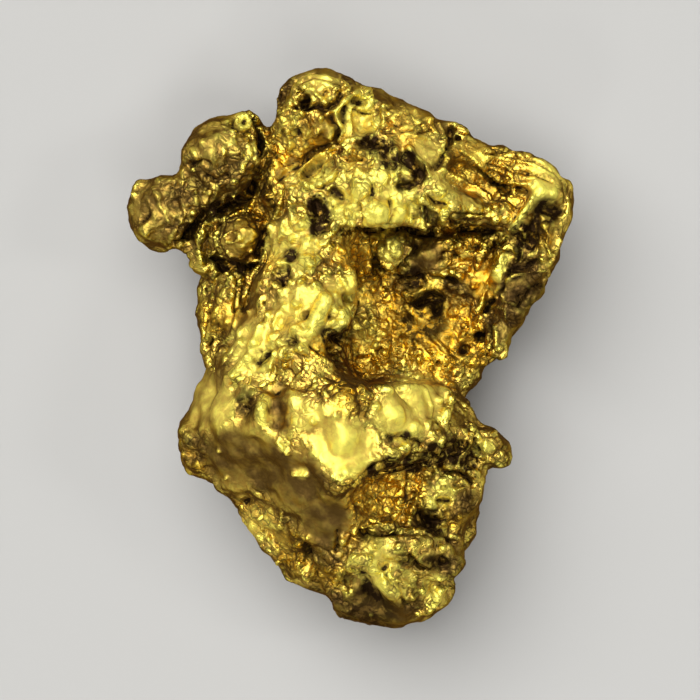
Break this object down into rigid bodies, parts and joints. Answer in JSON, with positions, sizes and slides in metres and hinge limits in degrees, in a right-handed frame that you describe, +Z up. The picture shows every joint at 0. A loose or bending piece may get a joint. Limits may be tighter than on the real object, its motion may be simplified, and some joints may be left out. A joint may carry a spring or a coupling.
{
  "type": "gold nugget",
  "caption": "Worn native gold nugget with rounded lobes, a deep open hollow and a high front ridge, lying on its broad back.",
  "frame": {"origin": "middle of the nugget's box, on the surface that it lies on", "axes": "+Z up, +Y along the nugget towards its crown, +X across it towards the arm and the spur"},
  "size_m": [0.0112, 0.014, 0.0063],
  "materials": {
    "gold": "worn native gold, rough and orange in the hollows, smoother on the high places"
  },
  "bodies": {
    "root": {"nugget": "gold"}
  },
  "joints": []
}
